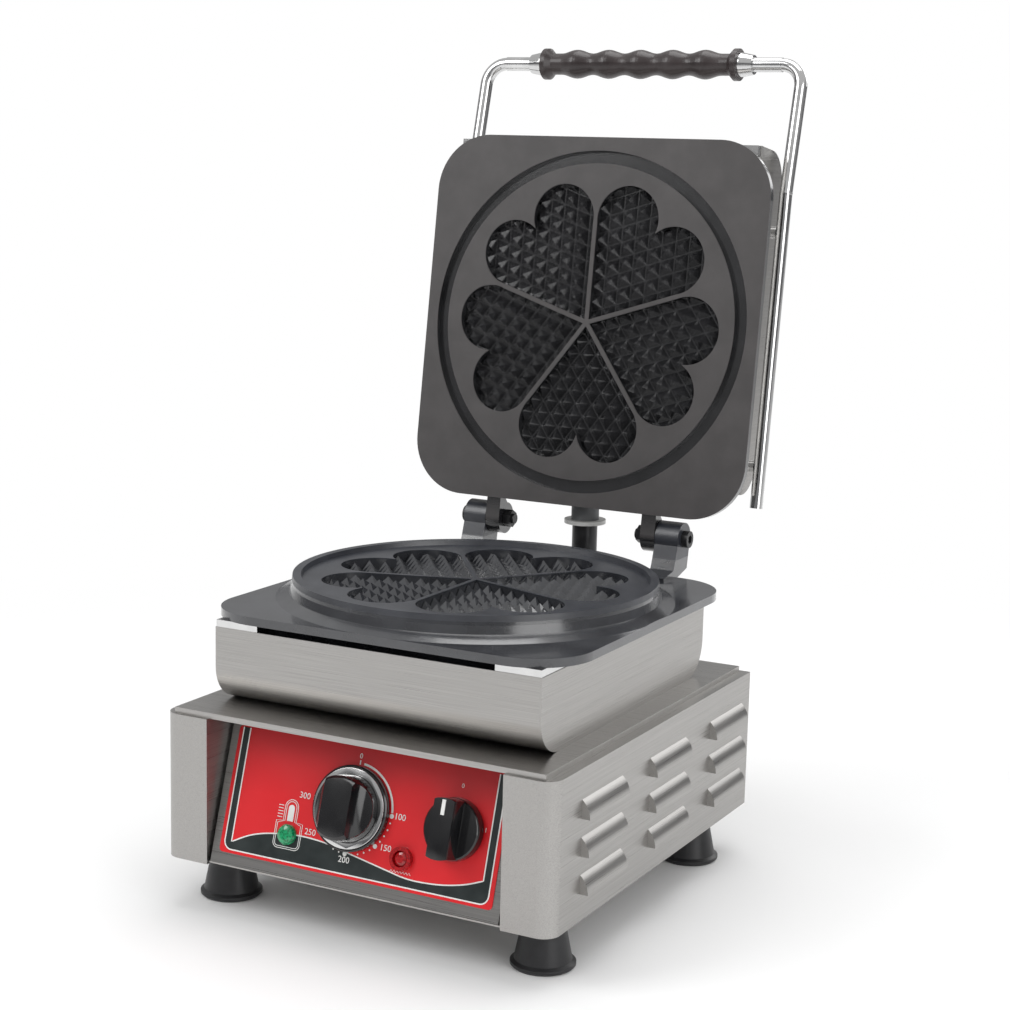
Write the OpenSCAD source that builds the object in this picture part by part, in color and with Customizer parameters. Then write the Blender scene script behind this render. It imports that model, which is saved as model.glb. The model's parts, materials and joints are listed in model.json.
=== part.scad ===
// Counter-top heart waffle maker: folded steel base with slanted control panel,
// a heated lower plate in its own pan, and a hinged lid with the upper plate and a grip.
// Z is up, the feet stand on z = 0, the controls face -Y, and the lid is drawn open.

/* [Base box] */
// Width of the base box over its side sheets
base_w = 305; // [275:1:366]
// Depth of the base box
base_d = 328; // [318:1:394]
// Height of the base box without its feet
base_h = 104; // [100:1:125]
// Thickness of the folded sheet
sheet_t = 1.2; // [1:0.1:1.5]
// Width of each front wing beside the control panel
wing_w = 37; // [35:1:38]
// Radius of the vertical front corners
corner_r = 12; // [8:1:16]
// Width of the folded flanges that the sheets are screwed through
flange_w = 12; // [10:1:14]
// Height of the folded rim under the top cover
cover_h = 4; // [3:0.5:5]
// Distance from the side sheets to the edge of the top cover
cover_inset = 8; // [6:0.5:10]

/* [Louvres] */
// Length of one louvre
louvre_l = 61; // [50:1:70]
// Height of one louvre
louvre_h = 13; // [10:0.5:15]
// How far a louvre stands out from the side sheet
louvre_out = 6; // [4:0.5:7]
// Distance between louvre columns
louvre_pitch = 106; // [88:1:110]
// Distance between louvre rows
louvre_row = 25.5; // [22:0.5:26]
// Place of the middle column behind the middle of the base
louvre_back = 12; // [0:1:14]
// Height of the lowest louvre opening above the bottom of the box
louvre_z = 19; // [14:1:22]

/* [Feet] */
// Height of a rubber foot
foot_h = 36; // [30:1:43]
// Diameter of a foot's bottom rim
foot_d = 44; // [38:1:52]
// Diameter of a foot at the top
foot_top_d = 30; // [26:1:34]
// Diameter of the foot screws
foot_screw_d = 6; // [5:0.5:7]
// Distance from the middle of a foot to the side of the box
foot_in_x = 27; // [26:1:32]
// Distance from the middle of a foot to the front or back of the box
foot_in_y = 43; // [40:1:50]

/* [Control panel] */
// Lean of the control panel from upright
panel_lean = 17; // [14:0.5:18]
// Length of the slanted panel face
panel_l = 104; // [100:0.5:106]
// Gap between the panel and the wings
panel_gap = 2; // [1.5:0.25:3]
// Thickness of the printed overlay
overlay_t = 0.5; // [0.3:0.1:0.8]
// Place of the thermostat across the panel
thermostat_x = -7; // [-15:0.5:0]
// Place of the switch across the panel
switch_x = 72.5; // [65:0.5:76]
// Height of both knobs up the panel
knob_v = 54.5; // [50:0.5:58]
// Diameter of the thermostat knob's skirt
dial_d = 58; // [50:1:66]
// Diameter of the switch knob
switch_d = 42; // [35:1:48]
// Diameter of the control shafts
shaft_d = 6; // [5:0.1:7.2]
// Running clearance round a shaft, on the radius
shaft_gap = 0.05; // [0.03:0.01:0.08]
// Place of the green lamp across the panel
green_x = -54.5; // [-60:0.5:-50]
// Place of the red lamp across the panel
red_x = 36.5; // [32:0.5:40]
// Height of both lamps up the panel
lamp_v = 28.5; // [24:0.5:30]
// Diameter of the green lamp's lens
green_d = 14; // [12:0.5:16]
// Diameter of the red lamp's bezel
red_d = 16; // [14:0.5:18]
// Turn of the thermostat knob from 0 to its highest setting
thermostat_turn = 270; // [240:1:300]

/* [Pan and plates] */
// Width of the pans that carry the plates
pan_w = 255; // [235:1:270]
// Depth of the pans
pan_d = 264; // [245:1:280]
// Height of the lower pan
pan_h = 54.5; // [46:0.5:65]
// Radius of the pans' long bends
pan_r = 26; // [20:1:32]
// Place of the pan's middle in front of the base's middle
pan_front = 5; // [0:1:8]
// Width of the cast plates
plate_w = 285.6; // [278:0.2:300]
// Depth of the cast plates
plate_d = 287.6; // [280:0.2:300]
// Corner radius of the cast plates
plate_r = 44; // [36:1:50]
// Thickness of a cast plate's flange
plate_t = 6; // [5:0.5:8]
// Height of the clips between a pan and its plate
clip_h = 5; // [4:0.5:7]
// Height of the lower cooking field above its flange
field_h = 13; // [11:0.5:15]
// Radius of the ring round the cooking field
ring_r = 132; // [126:0.5:133]
// Width of the ring
ring_w = 7; // [5:0.5:8]
// Height of the ring above the cooking field
ring_h = 3.5; // [2.5:0.5:4.5]
// Gap between the two cooking fields when the lid is shut
shut_gap = 1; // [0.8:0.1:1.5]
// Reach of the hearts from the middle of the plate
heart_r = 113; // [100:1:114]
// Angle of a heart's lobes from its middle line
lobe_angle = 17.2; // [16:0.2:18]
// Thickness of the walls between hearts
heart_wall = 3; // [2.5:0.5:4]
// Depth of the hearts
heart_depth = 8.5; // [7:0.5:10]
// Spacing of the pyramids in the hearts
pyramid_pitch = 11.5; // [10:0.5:14]
// Height of the pyramids
pyramid_h = 7; // [5:0.5:8]

/* [Hinge and lid] */
// Height of the hinge axis above the lower cooking field
hinge_up = 14; // [13:0.5:17]
// Distance from the hinge axis to the nearest edge of the plates
hinge_back = 16; // [15:0.5:20]
// Radius of the hinge ears
ear_r = 12.5; // [11:0.5:13]
// Thickness of the ears on the lower plate
lower_ear_w = 19.5; // [16:0.5:24]
// Thickness of the ears on the upper plate
lid_ear_w = 12; // [10:0.5:14]
// Place of the gap between the ears, from the middle
ear_x = 74; // [62:1:84]
// Diameter of the hinge bolts
bolt_d = 8; // [6.8:0.1:9.6]
// Running clearance round a hinge bolt, on the radius
bolt_gap = 0.05; // [0.03:0.01:0.08]
// Angle of the lid from shut to open
open_angle = 98; // [92:0.5:100]
// Depth of the lid casing
casing_h = 50; // [42:0.5:60]
// Height of the top of the stop post above the hinge axis
stop_up = 3; // [0:0.5:5]
// Place of the stop post behind the hinge axis
stop_back = 18; // [16:0.5:20]
// Diameter of the stop post
stop_d = 20; // [16:1:24]

/* [Handle] */
// Diameter of the side rods
rod_d = 10; // [8:0.5:12]
// Length of the spacers between the lid casing and the rods
rod_spacer = 5; // [4:0.5:7]
// Reach of the handle from the hinge axis
handle_reach = 370; // [345:1:385]
// Depth of the side rods behind the back edge of the clips
rod_back = 34; // [28:1:38]
// How far the handle bar lies behind the side rods
bar_back = 12; // [8:1:16]
// Inside radius of the rods' bend
bend_r = 12; // [9:1:16]
// Diameter of the handle bar
bar_d = 11; // [9:0.5:12]
// Length of the grip
grip_l = 170; // [141:1:190]
// Diameter of the grip
grip_d = 25; // [22:0.5:28]

/* [Hidden] */
$fn = 96;

steel = "silver";
bright = "gainsboro";
iron = "dimgray";
black = "black";
small = 0.01;

// Heights
box_z = foot_h;
box_top = box_z + base_h;
cover_top = box_top + cover_h;
pan_top = cover_top + pan_h;
flange_z = pan_top + clip_h;
flange_top = flange_z + plate_t;
field_z = flange_top + field_h;
ring_top = field_z + ring_h;
under_depth = 4;
plate_under = pan_top - under_depth;
axis_z = field_z + hinge_up;

// Places along the depth, from the middle of the base box
front_y = -base_d / 2;
back_y = base_d / 2;
pan_y = -pan_front;
plate_y = pan_y + 9.5;
axis_y = plate_y + plate_d / 2 + hinge_back;

ear_gap = 0.4;

// Lid, drawn shut with the hinge axis as its origin: z = 0 is the axis, -Y is the free edge
lid_face = -hinge_up + shut_gap;
lid_plate_y = -hinge_back - plate_d / 2;
lid_back = lid_face + plate_t;
lid_seat = lid_back + clip_h;
lid_under = lid_seat + under_depth;
lid_pan_y = lid_plate_y - (plate_y - pan_y);
rod_x = pan_w / 2 + rod_spacer + rod_d / 2;
rod_z = lid_seat + rod_back;
bar_z = rod_z + bar_back;

// The whole model is moved along Y so that its box is centred on the origin
knob_gap = 0.8;
dial_h = 24;
dial_core_d = dial_d - 13;
dial_front = front_y + sheet_t + (knob_v - dial_core_d / 2 + 3) * sin(panel_lean)
    - (overlay_t + knob_gap + dial_h - 1) * cos(panel_lean);
grip_back = axis_y - handle_reach * cos(open_angle) + bar_z * sin(open_angle) + grip_d / 2;
mid_y = (dial_front + grip_back) / 2;

module placed() {
    translate([0, -mid_y, 0]) children();
}

module both_sides() {
    children();
    mirror([1, 0, 0]) children();
}

// Rectangle with round corners, centred, made of squares and circles
module round_rect(w, d, r) {
    square([w, d - 2 * r], center = true);
    square([w - 2 * r, d], center = true);
    for (x = [-1, 1], y = [-1, 1])
        translate([x * (w / 2 - r), y * (d / 2 - r)]) circle(r);
}

// Washer shape: a tube with its axis on Z
module tube(d, bore, h) {
    difference() {
        cylinder(d = d, h = h);
        translate([0, 0, -1]) cylinder(d = bore, h = h + 2);
    }
}

// ---------- Base box ----------

// Plan rectangle x0..x1 by y0..y1 with its front outer corner (x1, y0) rounded
module corner_block(x0, x1, y0, y1, r) {
    translate([x0, y0]) square([x1 - r - x0, y1 - y0]);
    translate([x0, y0 + r]) square([x1 - x0, y1 - y0 - r]);
    translate([x1 - r, y0 + r]) circle(r);
}

wing_x = base_w / 2 - wing_w;
side_x = base_w / 2;
wing_return = panel_l * sin(panel_lean) + 4;
foot_x = side_x - foot_in_x;
foot_y = base_d / 2 - foot_in_y;
foot_hole_d = foot_screw_d + 0.6;

module foot_places() {
    for (x = [-1, 1], y = [-1, 1]) translate([x * foot_x, y * foot_y, 0]) children();
}

// Plan of the side sheet: front wing with its return, round corner, side and rear flange
module side_plan() {
    difference() {
        corner_block(wing_x, side_x, front_y, back_y, corner_r);
        corner_block(wing_x + sheet_t, side_x - sheet_t, front_y + sheet_t, back_y - sheet_t,
            corner_r - sheet_t);
        translate([wing_x - 1, front_y + wing_return])
            square([sheet_t + 2, base_d - wing_return - sheet_t]);
    }
}

// Plan of the folded flanges at the top and bottom of a side sheet
module side_flange_plan() {
    difference() {
        corner_block(wing_x, side_x, front_y, back_y, corner_r);
        translate([wing_x - 1, front_y + flange_w])
            square([wing_w - flange_w + 1, base_d - 2 * flange_w]);
    }
}

// Radius of a louvre's round back, from its height and how far it stands out
louvre_r = (louvre_out * louvre_out + louvre_h * louvre_h) / (2 * louvre_out);

module louvre_shape(inset, l) {
    intersection() {
        translate([side_x + louvre_out - louvre_r, 0, 0])
            rotate([90, 0, 0]) cylinder(r = louvre_r - inset, h = l, center = true);
        translate([side_x - sheet_t, -l / 2, 0]) cube([2 * louvre_out, l, louvre_r]);
    }
}

module louvre_places() {
    for (col = [-1:1], row = [0:2])
        translate([0, louvre_back + col * louvre_pitch, box_z + louvre_z + row * louvre_row])
            children();
}

module side_sheet_right_shape() {
    difference() {
        union() {
            translate([0, 0, box_z]) linear_extrude(base_h) side_plan();
            translate([0, 0, box_z]) linear_extrude(sheet_t) side_flange_plan();
            translate([0, 0, box_top - sheet_t]) linear_extrude(sheet_t) side_flange_plan();
            louvre_places() louvre_shape(0, louvre_l);
        }
        louvre_places() translate([0, 0, -small])
            louvre_shape(sheet_t, louvre_l - 2 * sheet_t);
        louvre_places() translate([side_x - sheet_t - small, -louvre_l / 2 + sheet_t, -small])
            cube([sheet_t + 2 * small, louvre_l - 2 * sheet_t, louvre_h / 2]);
        foot_places() translate([0, 0, box_z - 1]) cylinder(d = foot_hole_d, h = sheet_t + 2);
    }
}

module side_sheet_right() {
    color(steel) placed() side_sheet_right_shape();
}

module side_sheet_left() {
    color(steel) placed() mirror([1, 0, 0]) side_sheet_right_shape();
}

cover_w = base_w - 2 * cover_inset;
cover_d = base_d - 6;
bolt_x = pan_w / 2 - 45;
bolt_y = pan_d / 2 - 45;
pan_bolt_d = 6;
pan_bolt_hole = pan_bolt_d + 0.6;
capillary_x = -60;
capillary_hole = 12;

module pan_bolt_places() {
    for (x = [-1, 1], y = [-1, 1]) translate([x * bolt_x, pan_y + y * bolt_y, 0]) children();
}

module top_cover() {
    color(steel) placed() difference() {
        translate([-cover_w / 2, -cover_d / 2, box_top]) cube([cover_w, cover_d, cover_h]);
        translate([-cover_w / 2 + sheet_t, -cover_d / 2 + sheet_t, box_top - 1])
            cube([cover_w - 2 * sheet_t, cover_d - 2 * sheet_t, cover_h - sheet_t + 1]);
        pan_bolt_places() translate([0, 0, box_top]) cylinder(d = pan_bolt_hole, h = cover_h + 1);
        translate([capillary_x, pan_y, box_top]) cylinder(d = capillary_hole, h = cover_h + 1);
    }
}

floor_z = box_z + sheet_t;
floor_w = base_w - 2 * sheet_t - 1;
floor_d = base_d - 2 * sheet_t - 1;
vent_l = 60;

module bottom_plate() {
    color(steel) placed() translate([0, 0, floor_z]) linear_extrude(sheet_t) difference() {
        square([floor_w, floor_d], center = true);
        foot_places() circle(d = foot_hole_d);
        for (i = [-3:3]) translate([i * 16 - 2, 40 - vent_l / 2]) square([4, vent_l]);
        both_sides() {
            translate([floor_w / 2 - corner_r, -floor_d / 2 - 1]) square([corner_r + 1, corner_r + 1]);
            translate([wing_x - 0.5, -floor_d / 2 - 1]) square([sheet_t + 1, wing_return + 2]);
        }
    }
}

gland_x = 90;
gland_z = box_z + 30;
gland_thread_d = 16;
gland_bore = 8;
rear_y = back_y - 2 * sheet_t;

module rear_panel() {
    color(steel) placed() difference() {
        translate([-floor_w / 2, rear_y, floor_z + sheet_t])
            cube([floor_w, sheet_t, base_h - 3 * sheet_t - 0.5]);
        translate([gland_x, rear_y - 1, gland_z])
            rotate([-90, 0, 0]) cylinder(d = gland_thread_d + 0.4, h = sheet_t + 2);
        for (i = [-4:4])
            translate([i * 9 - 2 - 40, rear_y - 1, gland_z - 10]) cube([4, sheet_t + 2, 40]);
    }
}

gland_nut_t = 5;

module cable_gland() {
    color(black) placed() translate([gland_x, rear_y + sheet_t, gland_z]) rotate([-90, 0, 0])
        difference() {
            union() {
                translate([0, 0, -sheet_t - gland_nut_t - 3]) cylinder(d = gland_thread_d, h = 20);
                cylinder(d = 24, h = 5, $fn = 6);
                translate([0, 0, 5 - small]) cylinder(d1 = 21, d2 = 15, h = 13);
            }
            translate([0, 0, -30]) cylinder(d = gland_bore, h = 60);
        }
}

module gland_nut() {
    color(black) placed() translate([gland_x, rear_y, gland_z]) rotate([90, 0, 0])
        difference() {
            cylinder(d = 23, h = gland_nut_t, $fn = 6);
            translate([0, 0, -1]) cylinder(d = gland_thread_d + 0.2, h = gland_nut_t + 2);
        }
}

module foot_shape() {
    head_d = 2 * foot_screw_d;
    difference() {
        rotate_extrude() polygon([[0, 0], [foot_d / 2 - 1.5, 0], [foot_d / 2, 1.5],
            [foot_d / 2, 3.5], [foot_d / 2 - 2.5, 5], [foot_top_d / 2 + 1, foot_h * 0.62],
            [foot_top_d / 2, foot_h - 6], [foot_top_d / 2, foot_h], [0, foot_h]]);
        translate([0, 0, -1]) cylinder(d = head_d + 3, h = foot_h / 2 + 1);
        translate([0, 0, foot_h / 2 - 1]) cylinder(d = foot_hole_d, h = foot_h);
    }
}

module foot_at(x, y) {
    color(black) placed() translate([x * foot_x, y * foot_y, 0]) foot_shape();
}

module foot_screws() {
    color(bright) placed() foot_places() {
        translate([0, 0, foot_h / 2 - foot_screw_d * 0.7])
            cylinder(d = 2 * foot_screw_d, h = foot_screw_d * 0.7);
        translate([0, 0, foot_h / 2 - small])
            cylinder(d = foot_screw_d, h = foot_h / 2 + 2 * sheet_t + 8);
        translate([0, 0, floor_z + sheet_t]) cylinder(d = 2 * foot_screw_d, h = 5, $fn = 6);
    }
}

// ---------- Control panel ----------

panel_w = 2 * (wing_x - panel_gap);
overlay_side = 6;
overlay_low = 8;
overlay_high = 96;
panel_z = floor_z + sheet_t * (1 + sin(panel_lean)) + 0.1;
bushing_d = shaft_d + 4;
lamp_hole = 9;

// Puts a piece on the panel: X across, Y up the slope, Z out of the panel's face
module on_panel(x, v) {
    placed() translate([0, front_y + sheet_t, panel_z]) rotate([90 - panel_lean, 0, 0])
        translate([x, v, 0]) children();
}

module panel_holes(h) {
    for (x = [thermostat_x, switch_x]) translate([x, knob_v, -h])
        cylinder(d = bushing_d + 0.4, h = 2 * h);
    for (x = [green_x, red_x]) translate([x, lamp_v, -h]) cylinder(d = lamp_hole + 0.4, h = 2 * h);
}

module control_panel() {
    color(steel) {
        on_panel(0, 0) difference() {
            translate([-panel_w / 2, 0, -sheet_t]) cube([panel_w, panel_l, sheet_t]);
            panel_holes(5);
        }
        on_panel(0, panel_l - sheet_t) rotate([panel_lean, 0, 0])
            translate([-panel_w / 2, 0, -flange_w]) cube([panel_w, sheet_t, flange_w - sheet_t / 2]);
        on_panel(0, 0) rotate([panel_lean, 0, 0])
            translate([-panel_w / 2, 0.2, -flange_w]) cube([panel_w, sheet_t, flange_w - sheet_t / 2]);
    }
}

module panel_overlay() {
    color("crimson") on_panel(0, 0) difference() {
        translate([0, (overlay_low + overlay_high) / 2, 0]) linear_extrude(overlay_t)
            round_rect(panel_w - 2 * overlay_side, overlay_high - overlay_low, 3);
        panel_holes(5);
    }
}

body_depth = 34;

// Housing of a control behind the panel, with the threaded bushing its shaft runs in
module control_body(w, h) {
    difference() {
        union() {
            translate([-w / 2, -h / 2, -sheet_t - body_depth]) cube([w, h, body_depth]);
            translate([0, 0, -sheet_t - 2]) cylinder(d = bushing_d, h = sheet_t + 2 + overlay_t);
        }
        translate([0, 0, -sheet_t - body_depth + 8])
            cylinder(d = shaft_d + 2 * shaft_gap, h = body_depth + 8);
    }
}

module thermostat_body() {
    color("ivory") on_panel(thermostat_x, knob_v) control_body(46, 44);
}

module switch_body() {
    color("dimgray") on_panel(switch_x, knob_v) control_body(36, 40);
}

knob_seat = overlay_t + knob_gap;
bore_up = 12;

// Shaft of a control, from the floor of its bore in the body to the floor of the knob's bore
module control_shaft() {
    translate([0, 0, -sheet_t - body_depth + 8 + 0.3])
        cylinder(d = shaft_d, h = sheet_t + body_depth - 8.3 + knob_seat + bore_up);
}

module thermostat_shaft() {
    color(bright) on_panel(thermostat_x, knob_v) control_shaft();
}

module switch_shaft() {
    color(bright) on_panel(switch_x, knob_v) control_shaft();
}

dial_skirt_h = 5;
dial_ring_in = dial_d / 2 - 6.2;
dial_ring_out = dial_d / 2 - 1.8;
ring_t = 0.8;

module thermostat_knob() {
    color(black) on_panel(thermostat_x, knob_v) translate([0, 0, knob_seat]) difference() {
        rotate_extrude() polygon([[0, 0], [dial_d / 2, 0], [dial_d / 2, dial_skirt_h - 1],
            [dial_d / 2 - 1, dial_skirt_h], [dial_core_d / 2 + 0.3, dial_skirt_h],
            [dial_core_d / 2 - 1, dial_h - 3], [dial_core_d / 2 - 3, dial_h - 1], [0, dial_h]]);
        for (s = [-1, 1])
            translate([s * (dial_core_d / 2 + 3), 0, dial_h + 2])
                rotate([90, 0, 0]) cylinder(r = 15, h = dial_d + 2, center = true);
        translate([0, 0, -1]) cylinder(d = shaft_d, h = bore_up + 1);
        translate([0, 0, -1]) cylinder(d = 16, h = 3);
    }
}

module thermostat_ring() {
    color(bright) on_panel(thermostat_x, knob_v) translate([0, 0, knob_seat + dial_skirt_h])
        tube(2 * dial_ring_out, 2 * dial_ring_in, ring_t);
}

switch_base_h = 7;
switch_bar_h = 21;
switch_bar_w = 15;

module switch_knob() {
    color(black) on_panel(switch_x, knob_v) translate([0, 0, knob_seat]) difference() {
        union() {
            rotate_extrude() polygon([[0, 0], [switch_d / 2, 0], [switch_d / 2 - 0.5, switch_base_h - 1],
                [switch_d / 2 - 1.5, switch_base_h], [0, switch_base_h]]);
            intersection() {
                translate([-switch_bar_w / 2, -switch_d / 2, 1])
                    cube([switch_bar_w, switch_d, switch_bar_h - 1]);
                translate([0, 0, 0.5]) cylinder(d = switch_d - 1.6, h = switch_bar_h);
            }
        }
        translate([0, 0, -1]) cylinder(d = shaft_d, h = bore_up + 1);
        translate([0, 0, -1]) cylinder(d = 16, h = 3);
    }
}

module switch_marker() {
    marker_l = 10;
    color("white") on_panel(switch_x, knob_v + switch_d / 2 - marker_l - 2)
        translate([-1.25, 0, knob_seat + switch_bar_h]) cube([2.5, marker_l, 0.6]);
}

module lamp_body(x) {
    on_panel(x, lamp_v) {
        translate([0, 0, -sheet_t - 20]) cylinder(d = lamp_hole, h = 20 + sheet_t + overlay_t);
        translate([0, 0, -sheet_t - 6]) cylinder(d = lamp_hole + 6, h = 6);
    }
}

module lamp_lens(x, d, z0, h) {
    on_panel(x, lamp_v) translate([0, 0, z0]) rotate_extrude()
        polygon([[0, 0], [d / 2, 0], [d / 2, h * 0.4], [d / 2 - 1, h * 0.75], [d / 4, h], [0, h]]);
}

module green_lamp_lens() {
    color("green") lamp_lens(green_x, green_d, overlay_t, 5);
}

module green_lamp_body() {
    color("ivory") lamp_body(green_x);
}

bezel_h = 3.5;

module red_lamp_bezel() {
    color("darkred") on_panel(red_x, lamp_v) translate([0, 0, overlay_t])
        tube(red_d, red_d - 5, bezel_h);
}

module red_lamp_lens() {
    color("red") lamp_lens(red_x, red_d - 5.2, overlay_t, bezel_h - 0.5);
}

module red_lamp_body() {
    color("ivory") lamp_body(red_x);
}

// ---------- Wiring inside the base ----------

terminal_x = 60;
terminal_y = 60;
terminal_l = 50;
terminal_w = 22;
terminal_h = 20;

module terminal_block() {
    color("ivory") placed() translate([terminal_x, terminal_y, floor_z + sheet_t]) difference() {
        translate([-terminal_l / 2, -terminal_w / 2, 0]) cube([terminal_l, terminal_w, terminal_h]);
        for (i = [-1:1]) translate([i * 15, 0, terminal_h - 8]) cylinder(d = 7, h = 10);
    }
}

// Wire or capillary along a list of points, with a slightly larger bead at each corner
module run_of(points, d) {
    for (i = [0:len(points) - 2]) {
        a = points[i];
        b = points[i + 1];
        v = b - a;
        l = norm(v);
        translate(a) rotate([0, acos(v[2] / l), atan2(v[1], v[0])]) cylinder(d = d, h = l, $fn = 24);
    }
    for (i = [1:len(points) - 2]) translate(points[i]) sphere(d = d * 1.2, $fn = 24);
}

wire_d = 4;
lead_d = 6;
wire_z = floor_z + sheet_t + 8;
body_back_y = front_y + 50;

// Wires from the terminal block to the controls, and the supply lead from the gland to the block
module wiring_loom() {
    color("brown") placed() {
        for (x = [switch_x - 22, switch_x - 30])
            translate([x, body_back_y, wire_z]) rotate([-90, 0, 0])
                cylinder(d = wire_d, h = terminal_y - terminal_w / 2 - body_back_y);
        translate([gland_x, rear_y - gland_nut_t - 6, gland_z]) rotate([90, 0, 0])
            cylinder(d = lead_d, h = 70);
    }
}

bulb_d = 6;
bulb_l = 90;
clamp_t = 1.5;
element_h = 7;
bulb_z = plate_under - bulb_d / 2 - 0.5;

module thermostat_capillary() {
    color("peru") placed() {
        run_of([[thermostat_x - 16, body_back_y + 6, box_z + 60],
            [capillary_x, pan_y - 20, box_z + 70],
            [capillary_x, pan_y, box_top - 14],
            [capillary_x, pan_y, bulb_z],
            [capillary_x + 20, pan_y, bulb_z]], 2.5);
        translate([capillary_x + 20, pan_y, bulb_z]) rotate([0, 90, 0])
            cylinder(d = bulb_d, h = bulb_l);
    }
}

// ---------- Lower pan and heater ----------

// Section of a pan across its long bends: flat floor, two round bends, upright walls
module pan_section(d, h, r) {
    translate([-d / 2 + r, 0]) square([d - 2 * r, h]);
    translate([-d / 2, r]) square([d, h - r]);
    intersection() {
        for (s = [-1, 1]) translate([s * (d / 2 - r), r]) circle(r);
        translate([-d / 2, 0]) square([d, h]);
    }
}

// Turns a section drawn in X and Y to stand across the pan, extruded along its width
module across(w) {
    rotate([90, 0, 90]) translate([0, 0, -w / 2]) linear_extrude(w) children();
}

pan_side_t = 1.5;
pan_inner_w = pan_w - 2 * pan_side_t;

module pan_shell(h) {
    across(pan_inner_w) difference() {
        pan_section(pan_d, h, pan_r);
        translate([0, sheet_t]) pan_section(pan_d - 2 * sheet_t, h + 2, pan_r - sheet_t);
    }
}

module pan_side(h) {
    translate([pan_w / 2 - pan_side_t / 2, 0, 0]) across(pan_side_t) pan_section(pan_d, h, pan_r);
}

module lower_pan() {
    color(steel) placed() difference() {
        translate([0, pan_y, cover_top]) pan_shell(pan_h);
        pan_bolt_places() translate([0, 0, cover_top - 1]) cylinder(d = pan_bolt_hole, h = 4);
        translate([capillary_x, pan_y, cover_top - 1]) cylinder(d = capillary_hole, h = 4);
        stop_screw_holes();
    }
}

module lower_pan_side_right() {
    color(steel) placed() translate([0, pan_y, cover_top]) pan_side(pan_h);
}

module lower_pan_side_left() {
    color(steel) placed() translate([0, pan_y, cover_top]) mirror([1, 0, 0]) pan_side(pan_h);
}

insulation_t = 10;
insulation_w = pan_w - 2 * pan_r - 10;
insulation_d = pan_d - 2 * pan_r - 10;

module insulation_board() {
    difference() {
        linear_extrude(insulation_t) square([insulation_w, insulation_d], center = true);
        for (x = [-1, 1], y = [-1, 1])
            translate([x * bolt_x, y * bolt_y, -1]) cylinder(d = 16, h = insulation_t + 2);
        translate([capillary_x, 0, -1]) cylinder(d = capillary_hole, h = insulation_t + 2);
    }
}

module lower_insulation() {
    color("beige") placed() translate([0, pan_y, cover_top + sheet_t]) insulation_board();
}

// Bolts that hold the plate down: head under the cover, collar on the pan floor, tip on the plate
module pan_bolts() {
    color(bright) placed() pan_bolt_places() {
        translate([0, 0, cover_top - sheet_t - 4]) cylinder(d = 11, h = 4, $fn = 6);
        translate([0, 0, cover_top - sheet_t - small])
            cylinder(d = pan_bolt_d, h = plate_under - cover_top + sheet_t + small);
        translate([0, 0, cover_top + sheet_t]) cylinder(d = 12, h = plate_under - cover_top - sheet_t);
    }
}

element_r = 78;
element_w = 8;
element_gap = 24;

// Flattened heating tube bent to an open ring, with its two cold ends
module element_shape() {
    rotate([0, 0, 90 + element_gap / 2]) rotate_extrude(angle = 360 - element_gap)
        translate([element_r - element_w / 2, 0]) square([element_w, element_h]);
    for (s = [-1, 1]) rotate([0, 0, 90 + s * element_gap / 2])
        translate([element_r - element_w / 2, -s * 4 - 4, 0]) cube([element_w + 22, 8, element_h]);
}

module clamp_plate_shape() {
    difference() {
        linear_extrude(clamp_t) round_rect(2 * element_r + 20, 2 * element_r + 20, 30);
        for (x = [-1, 1], y = [-1, 1])
            translate([x * bolt_x, y * bolt_y, -1]) cylinder(d = 16, h = clamp_t + 2);
        translate([capillary_x, 0, -1]) cylinder(d = 6, h = clamp_t + 2);
    }
}

module lower_element() {
    color("dimgray") placed() translate([0, pan_y, plate_under - element_h]) element_shape();
}

module lower_clamp_plate() {
    color(bright) placed() translate([0, pan_y, plate_under - element_h - clamp_t])
        clamp_plate_shape();
}

// ---------- Cast plates ----------

// Distance of the lobes' centres from the heart's point, so that they just reach heart_r
lobe_c = heart_r / (1 + sin(36 - lobe_angle));
wedge_l = lobe_c * cos(36 - lobe_angle);

// One heart with its point at the middle of the plate and its lobes on +Y, inside its share of wall.
// Its straight sides run just inside the lobes' tangents, so that they cross the lobes cleanly.
tangent_step = 0.2;

module heart_2d(wall) {
    line = wall + tangent_step;
    tip = line / sin(36);
    side = [wedge_l * sin(36) - line * cos(36), wedge_l * cos(36) + line * sin(36)];
    lobe = [lobe_c * sin(lobe_angle), lobe_c * cos(lobe_angle)];
    for (s = [-1, 1]) translate([s * lobe[0], lobe[1]])
        circle(lobe_c * sin(36 - lobe_angle) - wall);
    polygon([[0, tip], side, lobe, [0, lobe[1] + 6], [-lobe[0], lobe[1]], [-side[0], side[1]]]);
}

// Long ridges side by side; two sets crossed at the heart's own angle leave pyramids
ridge_sink = 0.6;
pyramid_gap = 0.4;

module ridges(s) {
    n = ceil(heart_r / pyramid_pitch);
    h = pyramid_h + ridge_sink;
    rotate([0, 0, s * 36]) translate([-s * pyramid_pitch / 4, 0, 0]) rotate([90, 0, 0])
        translate([0, 0, -heart_r - 20]) linear_extrude(heart_r + 20)
            polygon(concat([[s * n * pyramid_pitch, -2], [0, -2]],
                [for (i = [0:2 * n - 1]) [s * i * pyramid_pitch / 2, (i % 2) * h - ridge_sink]],
                [[s * n * pyramid_pitch, -ridge_sink]]));
}

module pyramids() {
    intersection() {
        ridges(-1);
        ridges(1);
        translate([0, 0, -1.5]) linear_extrude(20) heart_2d(heart_wall / 2 + pyramid_gap);
    }
}

module hearts() {
    for (i = [0:4]) rotate([0, 0, i * 72]) children();
}

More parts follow.
